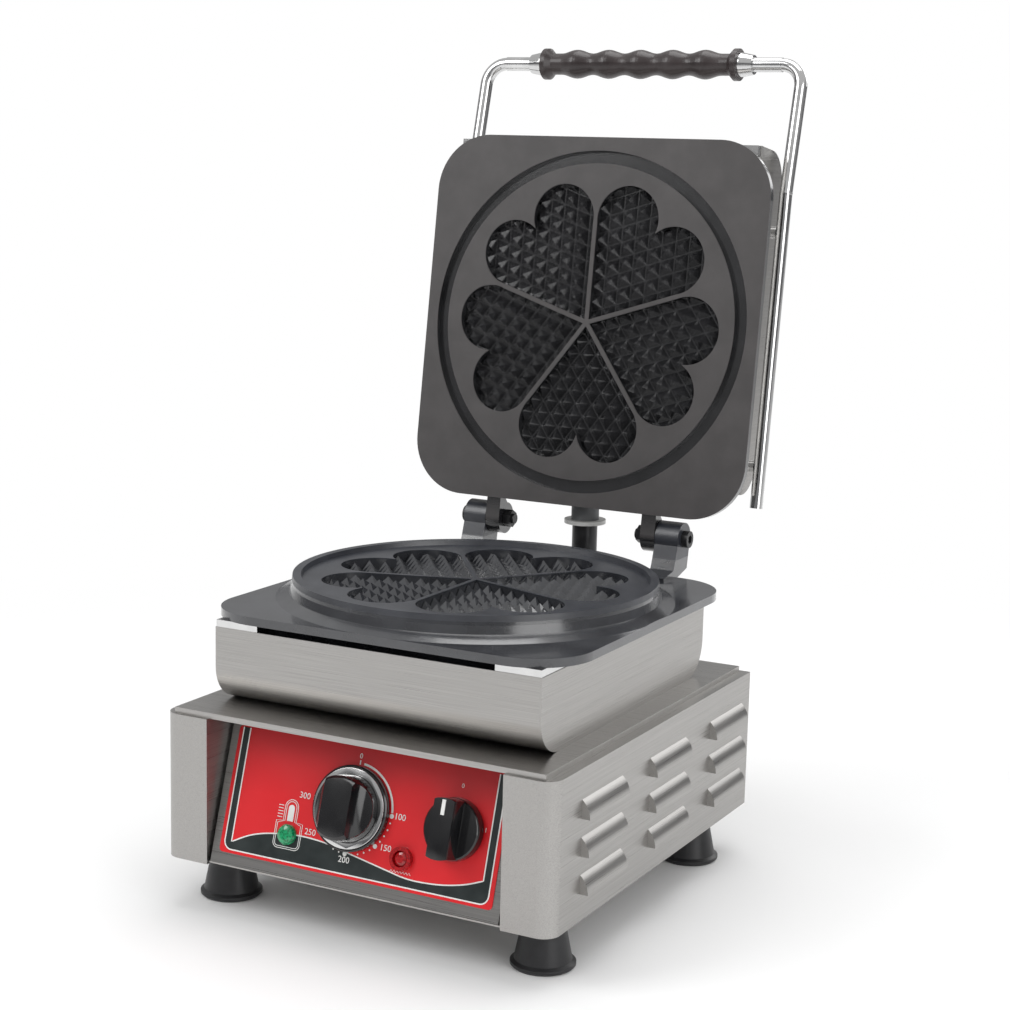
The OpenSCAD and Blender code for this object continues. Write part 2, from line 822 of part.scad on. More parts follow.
clip_l = 34;
clip_w = 10;
clip_in = 0.5;
under_w = pan_w - 2 * (clip_w + clip_in + 1);
under_d = pan_d - 2 * (clip_w + clip_in + 1);

// Ear of a hinge: a round end on the axis and a web, drawn in Y and Z, that joins it to its plate
module ear(x, w, web) {
    translate([x, 0, 0]) {
        rotate([0, 90, 0]) cylinder(r = ear_r, h = w);
        rotate([90, 0, 90]) linear_extrude(w) polygon(web);
    }
}

module lower_plate() {
    bore = bolt_d + 2 * bolt_gap;
    seat = flange_top - axis_z;
    web = [[-hinge_back - 20, seat - 2], [-hinge_back - 20, seat + 2], [-hinge_back - 2, seat + 5],
        [-hinge_back + 1, lid_face - 1], [-ear_r + 1, -3], [0, 0], [ear_r - 1, -3],
        [ear_r - 5, seat + 3], [-hinge_back, seat - 3]];
    color(iron) placed() {
        difference() {
            union() {
                translate([0, plate_y, flange_z])
                    linear_extrude(plate_t) round_rect(plate_w, plate_d, plate_r);
                translate([0, pan_y, plate_under])
                    linear_extrude(flange_z - plate_under + 1) round_rect(under_w, under_d, 30);
                intersection() {
                    translate([0, plate_y, flange_z + 1])
                        linear_extrude(60) round_rect(plate_w, plate_d, plate_r);
                    translate([0, plate_y, 0]) rotate_extrude() polygon([[0, flange_z + 1],
                        [ring_r + 12, flange_z + 1], [ring_r + 12, flange_top],
                        [ring_r + 2.5, flange_top + field_h / 3], [ring_r + 0.8, field_z - 3],
                        [ring_r, ring_top], [ring_r - ring_w + 1, ring_top],
                        [ring_r - ring_w, field_z], [0, field_z]]);
                }
                translate([0, axis_y, axis_z]) both_sides()
                    ear(ear_x + ear_gap / 2, lower_ear_w - ear_gap / 2, web);
            }
            translate([0, axis_y, axis_z]) both_sides() translate([ear_x - 1, 0, 0])
                rotate([0, 90, 0]) cylinder(d = bore, h = lower_ear_w + 2);
            translate([0, plate_y, field_z - heart_depth]) hearts()
                linear_extrude(heart_depth + 1) heart_2d(heart_wall / 2);
        }
        translate([0, plate_y, field_z - heart_depth]) hearts() pyramids();
    }
}

groove_in = ring_r - ring_w - 1.4;
groove_out = ring_r + 1.4;
groove_depth = ring_h + 1.5;

// Lid pieces are drawn shut round the hinge axis, then swung open
module on_lid() {
    placed() translate([0, axis_y, axis_z]) rotate([-open_angle, 0, 0]) children();
}

module upper_plate() {
    web = [[-hinge_back - 3, lid_face + 1], [0, -ear_r], [0, 0], [-4, ear_r - 3],
        [-hinge_back - 3, lid_back]];
    color(iron) on_lid() {
        difference() {
            union() {
                translate([0, lid_plate_y, lid_face])
                    linear_extrude(plate_t) round_rect(plate_w, plate_d, plate_r);
                translate([0, lid_pan_y, lid_back - 1])
                    linear_extrude(lid_under - lid_back + 1) round_rect(under_w, under_d, 30);
                both_sides() ear(ear_x - ear_gap / 2 - lid_ear_w, lid_ear_w, web);
            }
            both_sides() translate([ear_x - lid_ear_w - 1, 0, 0]) rotate([0, 90, 0])
                cylinder(d = bolt_d + 2 * bolt_gap, h = lid_ear_w + 2);
            translate([0, lid_plate_y, lid_face - 1])
                tube(2 * groove_out, 2 * groove_in, groove_depth + 1);
            translate([0, lid_plate_y, lid_face - 1]) hearts()
                linear_extrude(heart_depth + 1) heart_2d(heart_wall / 2);
        }
        translate([0, lid_plate_y, lid_face + heart_depth]) mirror([0, 0, 1])
            hearts() pyramids();
    }
}

// ---------- Clips, pins and stop ----------

module mirrored_corners() {
    children();
    mirror([1, 0, 0]) children();
    mirror([0, 1, 0]) children();
    mirror([1, 0, 0]) mirror([0, 1, 0]) children();
}

// Bright angle pieces that carry the plate on the corners of its pan
module clip_set() {
    mirrored_corners() translate([pan_w / 2 - clip_in, pan_d / 2 - clip_in, 0]) {
        translate([-clip_l, -clip_w, 0]) cube([clip_l, clip_w, clip_h]);
        translate([-clip_w, -clip_l, 0]) cube([clip_w, clip_l, clip_h]);
    }
}

module lower_clips() {
    color(bright) placed() translate([0, pan_y, pan_top]) clip_set();
}

module upper_clips() {
    color(bright) on_lid() translate([0, lid_pan_y, lid_back]) clip_set();
}

bolt_head_d = bolt_d + 5;
bolt_head_h = 5;
bolt_nut_h = 6;

// Socket-head bolt through both ears, head outside, nut inside
module hinge_bolt() {
    x0 = ear_x - lid_ear_w - 1.5 * ear_gap;
    x1 = ear_x + lower_ear_w;
    difference() {
        translate([x1, 0, 0]) rotate([0, 90, 0]) cylinder(d = bolt_head_d, h = bolt_head_h);
        translate([x1 + bolt_head_h - 3, 0, 0]) rotate([0, 90, 0])
            cylinder(d = bolt_d - 1, h = 5, $fn = 6);
    }
    translate([x0 - bolt_nut_h - 2, 0, 0]) rotate([0, 90, 0])
        cylinder(d = bolt_d, h = x1 - x0 + bolt_nut_h + 2 + small);
    translate([x0 - bolt_nut_h, 0, 0]) rotate([0, 90, 0])
        cylinder(d = bolt_d + 6, h = bolt_nut_h, $fn = 6);
}

module hinge_bolt_right() {
    color(black) placed() translate([0, axis_y, axis_z]) hinge_bolt();
}

module hinge_bolt_left() {
    color(black) placed() translate([0, axis_y, axis_z]) mirror([1, 0, 0]) hinge_bolt();
}

pan_back_y = pan_y + pan_d / 2;
stop_y = axis_y + stop_back;
stop_strip_t = 4;
stop_strip_w = 26;
stop_strip_h = 30;
pad_t = 3;
stop_top = axis_z + stop_up;
stop_foot_z = pan_top - 16;

module stop_screw_holes() {
    for (s = [-1, 1]) translate([s * 7, pan_back_y + 1, stop_foot_z - stop_strip_h / 2])
        rotate([90, 0, 0]) cylinder(d = 4.5, h = 4);
}

// Folded strip from the back wall of the pan to the foot of the stop post
module stop_bracket() {
    color(steel) placed() {
        translate([-stop_strip_w / 2, pan_back_y, stop_foot_z - stop_strip_h])
            cube([stop_strip_w, stop_strip_t, stop_strip_h]);
        translate([-stop_strip_w / 2, pan_back_y, stop_foot_z - stop_strip_t])
            cube([stop_strip_w, stop_y - pan_back_y + stop_strip_w / 2, stop_strip_t]);
        for (s = [-1, 1]) translate([s * 7, pan_back_y + stop_strip_t, stop_foot_z - stop_strip_h / 2]) {
            rotate([90, 0, 0]) cylinder(d = 4, h = stop_strip_t + 3);
            rotate([-90, 0, 0]) cylinder(d = 7, h = 3);
        }
    }
}

module stop_post() {
    color(black) placed() translate([0, stop_y, stop_foot_z])
        cylinder(d = stop_d, h = stop_top - pad_t - stop_foot_z);
}

module stop_pad() {
    color("lightgray") placed() translate([0, stop_y, stop_top - pad_t])
        cylinder(d = stop_d + 13, h = pad_t);
}

stop_block_d = stop_d + 2;
casing_edge_y = lid_pan_y + pan_d / 2;

// Block on the hinge-side wall of the lid casing, which comes down on the pad when the lid is open
module lid_stop_block() {
    color("gray") intersection() {
        placed() translate([0, stop_y, stop_top + 0.1]) cylinder(d = stop_block_d, h = 80);
        on_lid() translate([-50, casing_edge_y, lid_seat]) cube([100, 100, casing_h + 60]);
    }
}

// ---------- Lid casing and heater ----------

module lid_casing() {
    color(steel) on_lid() translate([0, lid_pan_y, lid_seat + casing_h]) mirror([0, 0, 1])
        pan_shell(casing_h);
}

module lid_side(s) {
    color(steel) on_lid() difference() {
        translate([0, lid_pan_y, lid_seat + casing_h]) mirror([0, 0, 1]) mirror([s, 0, 0])
            pan_side(casing_h);
        rod_screw_places() rotate([0, 90, 0]) cylinder(d = rod_screw_d + 0.4, h = 30, center = true);
    }
}

module lid_side_left() {
    lid_side(1);
}

module lid_side_right() {
    lid_side(0);
}

module upper_insulation() {
    color("beige") on_lid() translate([0, lid_pan_y, lid_seat + casing_h - sheet_t - insulation_t])
        linear_extrude(insulation_t) square([insulation_w, insulation_d], center = true);
}

module upper_element() {
    color("dimgray") on_lid() translate([0, lid_pan_y, lid_under]) element_shape();
}

module upper_clamp_plate() {
    color(bright) on_lid() translate([0, lid_pan_y, lid_under + element_h]) clamp_plate_shape();
}

// ---------- Handle ----------

rod_screw_d = 5;
screw_reach = [60, 240];
rod_low = 28;
bar_half = rod_x - bend_r - rod_d / 2;

module rod_screw_places() {
    for (s = [-1, 1], u = screw_reach) translate([s * (pan_w / 2), -u, rod_z]) children();
}

// Spacers and screws that hold the rods on the sides of the lid casing
module rod_screws() {
    color(bright) on_lid() both_sides() for (u = screw_reach) translate([0, -u, rod_z]) {
        translate([pan_w / 2, 0, 0]) rotate([0, 90, 0])
            cylinder(d = 9, h = rod_spacer + 1);
        translate([pan_w / 2 - 5, 0, 0]) rotate([0, 90, 0]) cylinder(d = rod_screw_d, h = 6);
        translate([pan_w / 2 - pan_side_t - 4, 0, 0]) rotate([0, 90, 0])
            cylinder(d = 10, h = 4, $fn = 6);
    }
}

// Rod along the side of the casing, leaning back to the bar and bent inwards to meet it
rod_lean = atan(bar_back / (handle_reach - screw_reach[1] - 30));
rod_knee = handle_reach - bar_back / tan(rod_lean);

module handle_rod() {
    knee_to_bend = (handle_reach - rod_knee) / cos(rod_lean) - bend_r - rod_d / 2;
    difference() {
        union() {
            translate([rod_x, -rod_low, rod_z]) rotate([90, 0, 0])
                cylinder(d = rod_d, h = rod_knee - rod_low);
            translate([rod_x, -rod_knee, rod_z]) sphere(d = rod_d + 0.2);
            translate([rod_x, -rod_knee, rod_z]) rotate([90 - rod_lean, 0, 0]) {
                cylinder(d = rod_d, h = knee_to_bend + small);
                translate([-bend_r - rod_d / 2, 0, knee_to_bend]) rotate([90, 0, 0])
                    rotate_extrude(angle = 90) translate([bend_r + rod_d / 2, 0]) circle(d = rod_d);
            }
        }
        for (u = screw_reach) translate([pan_w / 2 - 1, -u, rod_z]) rotate([0, 90, 0])
            cylinder(d = 9.1, h = rod_spacer + 2);
    }
}

module handle_rod_right() {
    color(bright) on_lid() handle_rod();
}

module handle_rod_left() {
    color(bright) on_lid() mirror([1, 0, 0]) handle_rod();
}

grip_bore = bar_d + 0.1;
ferrule_l = 12;

module along_bar() {
    on_lid() translate([0, -handle_reach, bar_z]) rotate([0, 90, 0]) children();
}

module handle_bar() {
    color(bright) along_bar() cylinder(d = bar_d, h = 2 * bar_half, center = true);
}

waves = 5;

// Moulded grip with five finger waves and a flange at each end
module grip() {
    wave_l = (grip_l - 30) / waves;
    steps = 12;
    low = grip_d / 2 - 4;
    color("saddlebrown") along_bar() difference() {
        rotate_extrude() polygon(concat(
            [[0, -grip_l / 2], [grip_d / 2, -grip_l / 2], [grip_d / 2, -grip_l / 2 + 4],
                [low, -grip_l / 2 + 8]],
            [for (i = [0:waves * steps]) [low + 1.5 - 1.5 * cos(i * 360 / steps),
                -waves * wave_l / 2 + i * wave_l / steps]],
            [[low, grip_l / 2 - 8], [grip_d / 2, grip_l / 2 - 4], [grip_d / 2, grip_l / 2],
                [0, grip_l / 2]]));
        cylinder(d = grip_bore, h = grip_l + 2, center = true);
    }
}

module ferrules() {
    color(bright) along_bar() for (s = [0, 1]) mirror([0, 0, s]) translate([0, 0, grip_l / 2])
        difference() {
            rotate_extrude() polygon([[0, 0], [grip_d / 2 - 3, 0], [grip_d / 2 - 3, 2],
                [bar_d / 2 + 2, ferrule_l], [0, ferrule_l]]);
            translate([0, 0, -1]) cylinder(d = grip_bore, h = ferrule_l + 2);
        }
}

side_sheet_left();
side_sheet_right();
top_cover();
control_panel();
panel_overlay();
bottom_plate();
rear_panel();
foot_at(-1, -1);  // foot_front_left
foot_at(1, -1);  // foot_front_right
foot_at(-1, 1);  // foot_rear_left
foot_at(1, 1);  // foot_rear_right
foot_screws();
thermostat_body();
thermostat_capillary();
switch_body();
green_lamp_lens();
green_lamp_body();
red_lamp_lens();
red_lamp_bezel();
red_lamp_body();
terminal_block();
cable_gland();
gland_nut();
wiring_loom();
lower_pan();
lower_pan_side_left();
lower_pan_side_right();
pan_bolts();
lower_insulation();
lower_element();
lower_clamp_plate();
lower_plate();
lower_clips();
hinge_bolt_left();
hinge_bolt_right();
stop_bracket();
stop_post();
stop_pad();
thermostat_knob();
thermostat_ring();
thermostat_shaft();
switch_knob();
switch_marker();
switch_shaft();
upper_plate();
upper_clips();
lid_casing();
lid_side_left();
lid_side_right();
upper_insulation();
upper_element();
upper_clamp_plate();
lid_stop_block();
rod_screws();
handle_rod_left();
handle_rod_right();
handle_bar();
grip();
ferrules();
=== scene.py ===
# %% [markdown]
# # Heart waffle maker
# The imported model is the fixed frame. Its folded sheets, castings, rods and lamps already have their
# true shapes, so they stay, and this file gives them their finishes. The knobs get softened edges
# here, and the panel gets its print.

# %% Load the frame
import json
import math
import bmesh
import bpy
from mathutils import Matrix, Vector


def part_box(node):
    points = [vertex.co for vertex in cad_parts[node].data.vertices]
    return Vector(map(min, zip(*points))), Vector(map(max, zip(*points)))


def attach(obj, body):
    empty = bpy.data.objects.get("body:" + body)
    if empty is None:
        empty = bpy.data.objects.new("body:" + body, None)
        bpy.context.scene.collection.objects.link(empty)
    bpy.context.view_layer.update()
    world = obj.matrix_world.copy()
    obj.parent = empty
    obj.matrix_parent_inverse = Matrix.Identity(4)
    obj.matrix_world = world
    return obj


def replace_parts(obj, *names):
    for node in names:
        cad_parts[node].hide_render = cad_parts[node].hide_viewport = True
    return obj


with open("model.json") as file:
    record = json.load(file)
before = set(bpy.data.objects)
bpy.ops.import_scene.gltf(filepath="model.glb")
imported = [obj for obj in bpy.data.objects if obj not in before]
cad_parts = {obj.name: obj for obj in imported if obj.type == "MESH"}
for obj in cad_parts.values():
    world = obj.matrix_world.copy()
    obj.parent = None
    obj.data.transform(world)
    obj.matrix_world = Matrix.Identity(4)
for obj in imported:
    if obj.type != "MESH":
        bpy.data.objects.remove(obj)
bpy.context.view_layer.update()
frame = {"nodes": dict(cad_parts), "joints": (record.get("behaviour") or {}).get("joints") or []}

MM = 0.001
print("nodes in the frame:", len(frame["nodes"]))

# %% [markdown]
# The control panel leans back. Everything printed or fitted on it is drawn flat, with X across,
# Y up the slope and Z out of the face, in mm, and one matrix then lays it on the panel. The matrix
# comes from the axis that the dial turns about, which the frame knows.

# %% Panel placement
joints = {joint["name"]: joint for joint in frame["joints"]}
dial_axis = Vector(joints["thermostat_turn"]["axis"]).normalized()
panel_out = -dial_axis
panel_right = Vector((1, 0, 0))
panel_up = panel_out.cross(panel_right)
DIAL_X, KNOB_V = -7.0, 54.5
dial_point = Vector(joints["thermostat_turn"]["pos_m"])
panel_origin = dial_point - panel_right * DIAL_X * MM - panel_up * KNOB_V * MM
panel_turn = Matrix((panel_right, panel_up, panel_out)).transposed().to_4x4()
ON_PANEL = Matrix.Translation(panel_origin) @ panel_turn @ Matrix.Scale(MM, 4)
OVERLAY_T = 0.5
MERGE_DIST = 1e-6
print("panel leans", round(math.degrees(math.asin(panel_out.z)), 1), "degrees")

# %% [markdown]
# One helper turns a bmesh into a piece that rides on a body, and shades it smooth up to a crease
# angle in degrees.


# %% Piece helper
def finish_piece(bm, name, body, material, place=Matrix.Identity(4), crease=35):
    bmesh.ops.remove_doubles(bm, verts=bm.verts, dist=MERGE_DIST)
    bmesh.ops.recalc_face_normals(bm, faces=bm.faces)
    bmesh.ops.transform(bm, matrix=place, verts=bm.verts)
    mesh = bpy.data.meshes.new(name)
    for edge in bm.edges:
        if len(edge.link_faces) == 2:
            edge.smooth = edge.calc_face_angle(0) < math.radians(crease)
    for face in bm.faces:
        face.smooth = True
    bm.to_mesh(mesh)
    bm.free()
    piece = bpy.data.objects.new(name, mesh)
    bpy.context.scene.collection.objects.link(piece)
    mesh.materials.append(material)
    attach(piece, body)
    return piece


print("piece helper ready")

# %% [markdown]
# ## Finishes
# Real surfaces are never one flat value. Two node groups carry the effects that many finishes
# share: fine streaks for brushed sheet, and a fine grain with slow blotches over it for castings,
# mouldings and film. Each puts out masks and a normal that the material mixes in.


# %% Node group helpers
MASK_LOW, MASK_HIGH = 0.3, 0.7
STREAK_RELIEF, GRAIN_RELIEF = 0.00005, 0.0002


def new_group(name, inputs, outputs):
    group = bpy.data.node_groups.new(name, "ShaderNodeTree")
    for label, kind, value in inputs:
        socket = group.interface.new_socket(label, in_out="INPUT", socket_type=kind)
        socket.default_value = value
    for label, kind in outputs:
        group.interface.new_socket(label, in_out="OUTPUT", socket_type=kind)
    return group, group.nodes.new("NodeGroupInput"), group.nodes.new("NodeGroupOutput")


def noise_node(tree, scale, detail, roughness, vector):
    noise = tree.nodes.new("ShaderNodeTexNoise")
    noise.inputs["Scale"].default_value = scale
    noise.inputs["Detail"].default_value = detail
    noise.inputs["Roughness"].default_value = roughness
    tree.links.new(vector, noise.inputs["Vector"])
    return noise


# %% Brushed streaks group
def make_streaks():
    """Long fine scratches: noise stretched along the grain, as a mask and a normal."""
    group, ins, outs = new_group(
        "brushed_streaks",
        [("Grain Scale", "NodeSocketVector", (60, 4000, 4000)), ("Depth", "NodeSocketFloat", 0.1)],
        [("Mask", "NodeSocketFloat"), ("Normal", "NodeSocketVector")])
    place = group.nodes.new("ShaderNodeTexCoord")
    stretch = group.nodes.new("ShaderNodeVectorMath")
    stretch.operation = "MULTIPLY"
    group.links.new(place.outputs["Object"], stretch.inputs[0])
    group.links.new(ins.outputs["Grain Scale"], stretch.inputs[1])
    fine = noise_node(group, 1.0, 3.0, 0.6, stretch.outputs[0])
    bump = group.nodes.new("ShaderNodeBump")
    bump.inputs["Distance"].default_value = STREAK_RELIEF
    group.links.new(ins.outputs["Depth"], bump.inputs["Strength"])
    group.links.new(fine.outputs["Fac"], bump.inputs["Height"])
    group.links.new(fine.outputs["Fac"], outs.inputs["Mask"])
    group.links.new(bump.outputs["Normal"], outs.inputs["Normal"])
    return group


# %% Grain group
def make_grain():
    """Cast or moulded grain with slow blotches over it."""
    group, ins, outs = new_group(
        "surface_grain",
        [("Grain Scale", "NodeSocketFloat", 900.0), ("Blotch Scale", "NodeSocketFloat", 30.0),
         ("Depth", "NodeSocketFloat", 0.2)],
        [("Grain", "NodeSocketFloat"), ("Blotch", "NodeSocketFloat"), ("Normal", "NodeSocketVector")])
    place = group.nodes.new("ShaderNodeTexCoord")
    fine = noise_node(group, 900, 4.0, 0.6, place.outputs["Object"])
    group.links.new(ins.outputs["Grain Scale"], fine.inputs["Scale"])
    slow = noise_node(group, 30, 3.0, 0.55, place.outputs["Object"])
    group.links.new(ins.outputs["Blotch Scale"], slow.inputs["Scale"])
    bump = group.nodes.new("ShaderNodeBump")
    bump.inputs["Distance"].default_value = GRAIN_RELIEF
    group.links.new(ins.outputs["Depth"], bump.inputs["Strength"])
    group.links.new(fine.outputs["Fac"], bump.inputs["Height"])
    group.links.new(fine.outputs["Fac"], outs.inputs["Grain"])
    group.links.new(slow.outputs["Fac"], outs.inputs["Blotch"])
    group.links.new(bump.outputs["Normal"], outs.inputs["Normal"])
    return group


STREAKS = make_streaks()
GRAIN = make_grain()
print("node groups:", STREAKS.name, GRAIN.name)

# %% [markdown]
# A finish is a Principled shader whose colour runs between two tones and whose roughness runs
# between two values, both driven by a mask. Constants go straight on the shader's own sockets.


# %% Material helpers
def shader_of(name):
    material = bpy.data.materials.new(name)
    material.use_nodes = True
    return material, material.node_tree, material.node_tree.nodes["Principled BSDF"]


def two_tones(tree, mask, dark, light, low=MASK_LOW, high=MASK_HIGH):
    """A colour that runs from dark to light as the mask goes from low to high."""
    ramp = tree.nodes.new("ShaderNodeValToRGB")
    for element, position, tone in zip(ramp.color_ramp.elements, (low, high), (dark, light)):
        element.position = position
        element.color = (*tone, 1)
    tree.links.new(mask, ramp.inputs["Fac"])
    return ramp.outputs["Color"]


def spread(tree, mask, start, end, to_start=0.0, to_end=1.0):
    """A value that runs from to_start to to_end as the mask goes from start to end."""
    span = tree.nodes.new("ShaderNodeMapRange")
    span.inputs["From Min"].default_value = start
    span.inputs["From Max"].default_value = end
    span.inputs["To Min"].default_value = to_start
    span.inputs["To Max"].default_value = to_end
    tree.links.new(mask, span.inputs["Value"])
    return span.outputs["Result"]


def drive_colour(tree, shader, mask, dark, light, low=MASK_LOW, high=MASK_HIGH):
    tone = two_tones(tree, mask, dark, light, low, high)
    tree.links.new(tone, shader.inputs["Base Color"])


def drive_roughness(tree, shader, mask, low, high):
    rough = spread(tree, mask, MASK_LOW, MASK_HIGH, low, high)
    tree.links.new(rough, shader.inputs["Roughness"])


def grained(name, dark, light, rough, grain=900.0, blotch=30.0, depth=0.2, metallic=0.0, coat=0.0,
            specular=0.5, mask="Blotch"):
    material, tree, shader = shader_of(name)
    group = tree.nodes.new("ShaderNodeGroup")
    group.node_tree = GRAIN
    group.inputs["Grain Scale"].default_value = grain
    group.inputs["Blotch Scale"].default_value = blotch
    group.inputs["Depth"].default_value = depth
    drive_colour(tree, shader, group.outputs[mask], dark, light)
    drive_roughness(tree, shader, group.outputs["Blotch"], *rough)
    tree.links.new(group.outputs["Normal"], shader.inputs["Normal"])
    shader.inputs["Metallic"].default_value = metallic
    shader.inputs["Specular IOR Level"].default_value = specular
    shader.inputs["Coat Weight"].default_value = coat
    shader.inputs["Coat Roughness"].default_value = 0.12
    return material


def brushed(name, dark, light, rough, grain, depth=0.12):
    material, tree, shader = shader_of(name)
    group = tree.nodes.new("ShaderNodeGroup")
    group.node_tree = STREAKS
    group.inputs["Grain Scale"].default_value = grain
    group.inputs["Depth"].default_value = depth
    drive_colour(tree, shader, group.outputs["Mask"], dark, light)
    drive_roughness(tree, shader, group.outputs["Mask"], *rough)
    tree.links.new(group.outputs["Normal"], shader.inputs["Normal"])
    shader.inputs["Metallic"].default_value = 1.0
    shader.inputs["Anisotropic"].default_value = 0.5
    return material


print("material helpers ready")

# %% [markdown]
# Stainless sheet is brushed along its length: along X on the front, the pans and the cover, and
# along Y on the sides. Rods, clips and ferrules are polished bright. Fittings, rubber, plastic and
# the hidden electrical parts each have a grain of their own.

# %% Finishes
SHEET_DARK, SHEET_LIGHT = (0.33, 0.32, 0.31), (0.46, 0.45, 0.435)
sheet_across = brushed("stainless_across", SHEET_DARK, SHEET_LIGHT, (0.26, 0.38), (12, 3000, 3000))
sheet_along = brushed("stainless_along", SHEET_DARK, SHEET_LIGHT, (0.26, 0.38), (3000, 12, 3000))
sheet_plain = brushed("plain_steel", (0.33, 0.33, 0.33), (0.46, 0.46, 0.45), (0.3, 0.45),
                      (300, 300, 300), 0.08)
bright = grained("bright_steel", (0.60, 0.60, 0.60), (0.74, 0.74, 0.735), (0.06, 0.14), 500, 40,
                 0.03, metallic=1.0)
iron_black = grained("black_steel", (0.02, 0.02, 0.021), (0.04, 0.04, 0.042), (0.3, 0.45), 900,
                     60, 0.2, metallic=0.4)
pad_pale = grained("pale_pad", (0.55, 0.55, 0.53), (0.68, 0.68, 0.66), (0.35, 0.5), 900, 60, 0.1)
block_grey = grained("grey_rubber", (0.12, 0.125, 0.13), (0.18, 0.185, 0.19), (0.5, 0.65), 900, 60,
                     0.2)
rubber = grained("black_rubber", (0.010, 0.010, 0.011), (0.022, 0.022, 0.024), (0.32, 0.5), 1400,
                 70, 0.25)
plastic_black = grained("black_plastic", (0.006, 0.006, 0.007), (0.011, 0.011, 0.012),
                        (0.10, 0.18), 1500, 60, 0.03, coat=0.4)
grip_brown = grained("grip_brown", (0.022, 0.015, 0.015), (0.040, 0.030, 0.030), (0.28, 0.42),
                     1200, 50, 0.18, coat=0.15)
ivory = grained("ivory_plastic", (0.55, 0.52, 0.42), (0.66, 0.63, 0.53), (0.4, 0.55), 900, 40, 0.1)
felt = grained("insulation_felt", (0.55, 0.5, 0.4), (0.75, 0.7, 0.6), (0.8, 0.95), 500, 60, 0.8)
heater = grained("heater_sheath", (0.05, 0.045, 0.04), (0.10, 0.09, 0.08), (0.4, 0.6), 700, 80,
                 0.3, metallic=0.6)
copper = grained("copper_tube", (0.45, 0.18, 0.09), (0.62, 0.28, 0.15), (0.2, 0.35), 600, 90,
                 0.05, metallic=1.0)
wire = grained("wire_sleeve", (0.05, 0.02, 0.01), (0.09, 0.04, 0.02), (0.5, 0.65), 900, 90, 0.1)
white_print = grained("white_print", (0.78, 0.78, 0.76), (0.86, 0.86, 0.84), (0.35, 0.45), 1500,
                      90, 0.05)
dark_print = grained("dark_print", (0.012, 0.018, 0.018), (0.020, 0.028, 0.028), (0.3, 0.4), 1500,
                     90, 0.05)
print("materials:", len(bpy.data.materials))

# %% [markdown]
# The red overlay is printed film: a clean red under a satin lacquer, painted a little deeper towards
# the top as painted shade from the top cover's overhang. The painted shade follows the height on the
# object, so it stays put in any view.


# %% Red overlay finish, with painted cover shade
def make_red_with_cover_shade():
    material, tree, shader = shader_of("red_overlay")
    place = tree.nodes.new("ShaderNodeTexCoord")
    split = tree.nodes.new("ShaderNodeSeparateXYZ")
    tree.links.new(place.outputs["Object"], split.inputs[0])
    low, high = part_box("panel_overlay")
    # painted shade: the red darkens towards the top, where the top cover's overhang shades the panel
    fade = spread(tree, split.outputs["Z"], low.z, high.z)
    drive_colour(tree, shader, fade, (0.74, 0.012, 0.018), (0.50, 0.008, 0.012), 0.5, 1.0)
    group = tree.nodes.new("ShaderNodeGroup")
    group.node_tree = GRAIN
    group.inputs["Depth"].default_value = 0.05
    drive_roughness(tree, shader, group.outputs["Blotch"], 0.28, 0.36)
    tree.links.new(group.outputs["Normal"], shader.inputs["Normal"])
    shader.inputs["Coat Weight"].default_value = 0.3
    shader.inputs["Coat Roughness"].default_value = 0.2
    return material


red_film_cover_shaded = make_red_with_cover_shade()


def make_lens(name, deep, pale):
    """Coloured clear plastic, lit a little from within by its own thickness."""
    material, tree, shader = shader_of(name)
    cells = tree.nodes.new("ShaderNodeTexVoronoi")
    cells.inputs["Scale"].default_value = 700
    place = tree.nodes.new("ShaderNodeTexCoord")
    tree.links.new(place.outputs["Object"], cells.inputs["Vector"])
    drive_colour(tree, shader, cells.outputs["Distance"], deep, pale, 0.1, 0.7)
    shader.inputs["Roughness"].default_value = 0.12
    shader.inputs["Coat Weight"].default_value = 0.5
    shader.inputs["Coat Roughness"].default_value = 0.05
    return material


lens_green = make_lens("green_lens", (0.0, 0.10, 0.035), (0.01, 0.36, 0.14))
lens_red = make_lens("red_lens", (0.20, 0.002, 0.004), (0.45, 0.006, 0.010))
print("film and lenses ready")

# %% [markdown]
# The castings have two finishes each. The open faces are matt and grainy, and the heart pockets are
# smooth and shiny from oil, so that their pyramids catch the light; on the upper plate the pockets are
# also painted near black as painted shade in the hollows. How far a point lies below the plate's face
# decides which finish it gets, blended over the pocket rims in between.


# %% Casting finish
POCKET_FROM, POCKET_FULL = 0.4, 1.0
FACE_COAT = 0.04


